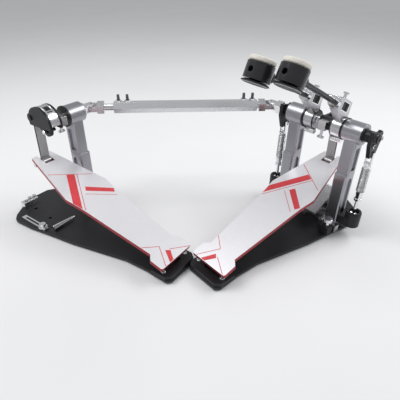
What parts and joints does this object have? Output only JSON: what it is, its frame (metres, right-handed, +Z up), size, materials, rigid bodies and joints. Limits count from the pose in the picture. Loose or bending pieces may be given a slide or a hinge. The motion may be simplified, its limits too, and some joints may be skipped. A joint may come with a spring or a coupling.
{
  "type": "double bass drum pedal",
  "caption": "Foot pedal pair that swings two beaters at a bass drum: footboards, cams and links, sprung axles on posts, and a jointed link shaft to the second pedal",
  "frame": {"origin": "on the floor under the middle of the main pedal's axle", "axes": "+X to the drummer's right along the main axle, +Y toward the drum, +Z up"},
  "size_m": [0.4871, 0.5279, 0.3107],
  "materials": {
    "black_steel": "satin black powder coat",
    "rubber": "matte black",
    "casting": "satin black",
    "post_metal": "satin gunmetal",
    "bearing": "black",
    "chrome": "polished",
    "steel": "satin",
    "board_metal": "brushed, dark red edges and stripes",
    "tube_metal": "satin",
    "head_plastic": "black",
    "felt": "cream felt",
    "link_metal": "satin grey"
  },
  "bodies": {
    "frame": {"main_base_plate": "black_steel", "main_rubber_mat": "rubber", "main_heel_block": "casting", "main_heel_pin": "steel", "main_right_post": "post_metal", "main_left_post": "post_metal", "main_right_post_bearing": "bearing", "main_left_post_bearing": "bearing", "right_spring_bracket": "casting", "left_spring_bracket": "casting", "hoop_clamp_bracket": "steel", "main_foot_block": "steel"},
    "right_beater_axle": {"right_axle": "chrome", "main_cam": "casting", "main_axle_clamp": "chrome", "right_beater_hub": "post_metal", "right_rod_clamp": "chrome", "right_rocker": "casting"},
    "right_rod": {"right_beater_rod": "head_plastic"},
    "right_head": {"right_beater_head": "head_plastic", "right_felt_pad": "felt", "right_striker": "head_plastic"},
    "left_beater_axle": {"left_axle": "chrome", "left_beater_hub": "post_metal", "left_rod_clamp": "chrome", "left_rocker": "casting"},
    "left_rod": {"left_beater_rod": "head_plastic"},
    "left_head": {"left_beater_head": "head_plastic", "left_felt_pad": "felt", "left_striker": "head_plastic"},
    "main_board": {"main_footboard": "board_metal"},
    "main_link": {"main_drive_link": "link_metal"},
    "right_tension": {"right_tension_rod": "chrome", "right_spring": "chrome"},
    "right_hanger": {"right_spring_hanger": "chrome"},
    "left_tension": {"left_tension_rod": "chrome", "left_spring": "chrome"},
    "left_hanger": {"left_spring_hanger": "chrome"},
    "hoop_clamp": {"hoop_clamp_rocker": "steel"},
    "clamp_screw": {"hoop_clamp_bolt": "chrome"},
    "floor_spur": {"main_spur": "chrome"},
    "shaft_tube": {"link_tube": "tube_metal", "link_tube_screws": "chrome", "main_inner_shaft": "chrome"},
    "shaft_stem": {"slave_inner_shaft": "chrome"},
    "main_cross": {"main_joint_cross": "steel"},
    "slave_cross": {"slave_joint_cross": "steel"},
    "slave_frame": {"slave_base_plate": "black_steel", "slave_rubber_mat": "rubber", "slave_heel_block": "casting", "slave_heel_pin": "steel", "slave_post": "post_metal", "slave_post_bearing": "bearing", "slave_outrigger": "chrome"},
    "slave_cam_axle": {"slave_axle": "chrome", "slave_cam": "casting", "slave_cam_band": "chrome", "slave_axle_clamp": "chrome"},
    "slave_link": {"slave_drive_link": "link_metal"},
    "slave_board": {"slave_footboard": "board_metal"}
  },
  "joints": [
    {"name": "right_beater_swing", "type": "hinge", "parent": "frame", "child": "right_beater_axle", "pos_m": [0, 0, 0.18125], "axis": [-1, 0, 0], "range_deg": [0, 50], "stiffness_Nm_per_rad": 1, "springref_deg": -25.78},
    {"name": "left_beater_swing", "type": "hinge", "parent": "frame", "child": "left_beater_axle", "pos_m": [-0.06, 0, 0.18125], "axis": [-1, 0, 0], "range_deg": [0, 50], "stiffness_Nm_per_rad": 1, "springref_deg": -25.78},
    {"name": "right_beater_height", "type": "slide", "parent": "right_beater_axle", "child": "right_rod", "axis": [0, -0.8973, 0.4415], "range_m": [-0.02, 0.02]},
    {"name": "right_head_turn", "type": "hinge", "parent": "right_rod", "child": "right_head", "pos_m": [0.0215, -0.14888, 0.28638], "axis": [0, -0.8973, 0.4415], "range_deg": [0, 180]},
    {"name": "right_spring_lean", "type": "hinge", "parent": "frame", "child": "right_tension", "pos_m": [0.082, 0, 0.042], "axis": [1, 0, 0], "range_deg": [0, 9]},
    {"name": "right_spring_stretch", "type": "slide", "parent": "right_tension", "child": "right_hanger", "axis": [0, 0, 1], "range_m": [0, 0.0086], "deforming": ["right_spring"]},
    {"name": "left_beater_height", "type": "slide", "parent": "left_beater_axle", "child": "left_rod", "axis": [0, -0.9121, 0.4099], "range_m": [-0.02, 0.02]},
    {"name": "left_head_turn", "type": "hinge", "parent": "left_rod", "child": "left_head", "pos_m": [-0.0295, -0.15246, 0.28112], "axis": [0, -0.9121, 0.4099], "range_deg": [0, 180]},
    {"name": "left_spring_lean", "type": "hinge", "parent": "frame", "child": "left_tension", "pos_m": [-0.086, 0, 0.042], "axis": [1, 0, 0], "range_deg": [0, 9]},
    {"name": "left_spring_stretch", "type": "slide", "parent": "left_tension", "child": "left_hanger", "axis": [0, 0, 1], "range_m": [0, 0.0086], "deforming": ["left_spring"]},
    {"name": "main_board_tilt", "type": "hinge", "parent": "frame", "child": "main_board", "pos_m": [0, -0.24908, 0.01699], "axis": [-1, 0, 0], "range_deg": [0, 4.7]},
    {"name": "main_link_swing", "type": "hinge", "parent": "right_beater_axle", "child": "main_link", "pos_m": [0, 0.0284, 0.18565], "axis": [1, 0, 0], "range_deg": [0, 59]},
    {"name": "hoop_clamp_rock", "type": "hinge", "parent": "frame", "child": "hoop_clamp", "pos_m": [0, 0.014, 0.044], "axis": [-1, 0, 0], "range_deg": [-3, 6]},
    {"name": "clamp_bolt_turn", "type": "hinge", "parent": "frame", "child": "clamp_screw", "pos_m": [0, -0.016, 0.03], "axis": [0, 0, 1], "continuous": true},
    {"name": "spur_travel", "type": "slide", "parent": "frame", "child": "floor_spur", "axis": [0, 0, -1], "range_m": [-0.003, 0.008]},
    {"name": "shaft_turn", "type": "hinge", "parent": "frame", "child": "shaft_tube", "pos_m": [-0.1195, 0, 0.18125], "axis": [-0.6008, -0.7994, 0], "range_deg": [0, 33]},
    {"name": "main_cross_swing", "type": "hinge", "parent": "shaft_tube", "child": "main_cross", "pos_m": [-0.1195, 0, 0.18125], "axis": [-0.7697, 0.5786, 0.2698], "range_deg": [0, 41]},
    {"name": "shaft_length", "type": "slide", "parent": "frame", "child": "slave_frame", "axis": [-0.6008, -0.7994, 0], "range_m": [0, 0.05]},
    {"name": "stem_turn", "type": "hinge", "parent": "slave_frame", "child": "shaft_stem", "pos_m": [-0.31898, -0.26539, 0.18125], "axis": [-0.6008, -0.7994, 0], "range_deg": [0, 33]},
    {"name": "slave_cross_swing", "type": "hinge", "parent": "shaft_stem", "child": "slave_cross", "pos_m": [-0.31898, -0.26539, 0.18125], "axis": [-0.7697, 0.5786, 0.2698], "range_deg": [-38, 0]},
    {"name": "slave_cam_swing", "type": "hinge", "parent": "slave_frame", "child": "slave_cam_axle", "pos_m": [-0.2979, -0.35186, 0.18125], "axis": [0.2368, -0.9715, 0], "range_deg": [0, 49]},
    {"name": "slave_link_swing", "type": "hinge", "parent": "slave_cam_axle", "child": "slave_link", "pos_m": [-0.32549, -0.35858, 0.18565], "axis": [-0.2368, 0.9715, 0], "range_deg": [0, 56]},
    {"name": "slave_board_tilt", "type": "hinge", "parent": "slave_frame", "child": "slave_board", "pos_m": [-0.05591, -0.29287, 0.01699], "axis": [0.2368, -0.9715, 0], "range_deg": [0, 4.5]}
  ],
  "couplings": [
    {"joint": "right_spring_lean", "follows": "right_beater_swing", "ratio": 0.17768},
    {"joint": "right_spring_stretch", "follows": "right_beater_swing", "m_per_rad": 0.00954},
    {"joint": "left_spring_lean", "follows": "left_beater_swing", "ratio": 0.17768},
    {"joint": "left_spring_stretch", "follows": "left_beater_swing", "m_per_rad": 0.00954},
    {"joint": "main_board_tilt", "follows": "right_beater_swing", "ratio": 0.09125},
    {"joint": "main_link_swing", "follows": "right_beater_swing", "ratio": 1.1475},
    {"joint": "shaft_turn", "follows": "left_beater_swing", "ratio": 0.62606},
    {"joint": "main_cross_swing", "follows": "left_beater_swing", "ratio": 0.78979},
    {"joint": "stem_turn", "follows": "left_beater_swing", "ratio": 0.62606},
    {"joint": "slave_cross_swing", "follows": "left_beater_swing", "ratio": -0.72802},
    {"joint": "slave_cam_swing", "follows": "left_beater_swing", "ratio": 0.95322},
    {"joint": "slave_link_swing", "follows": "left_beater_swing", "ratio": 1.0938},
    {"joint": "slave_board_tilt", "follows": "left_beater_swing", "ratio": 0.08698}
  ]
}
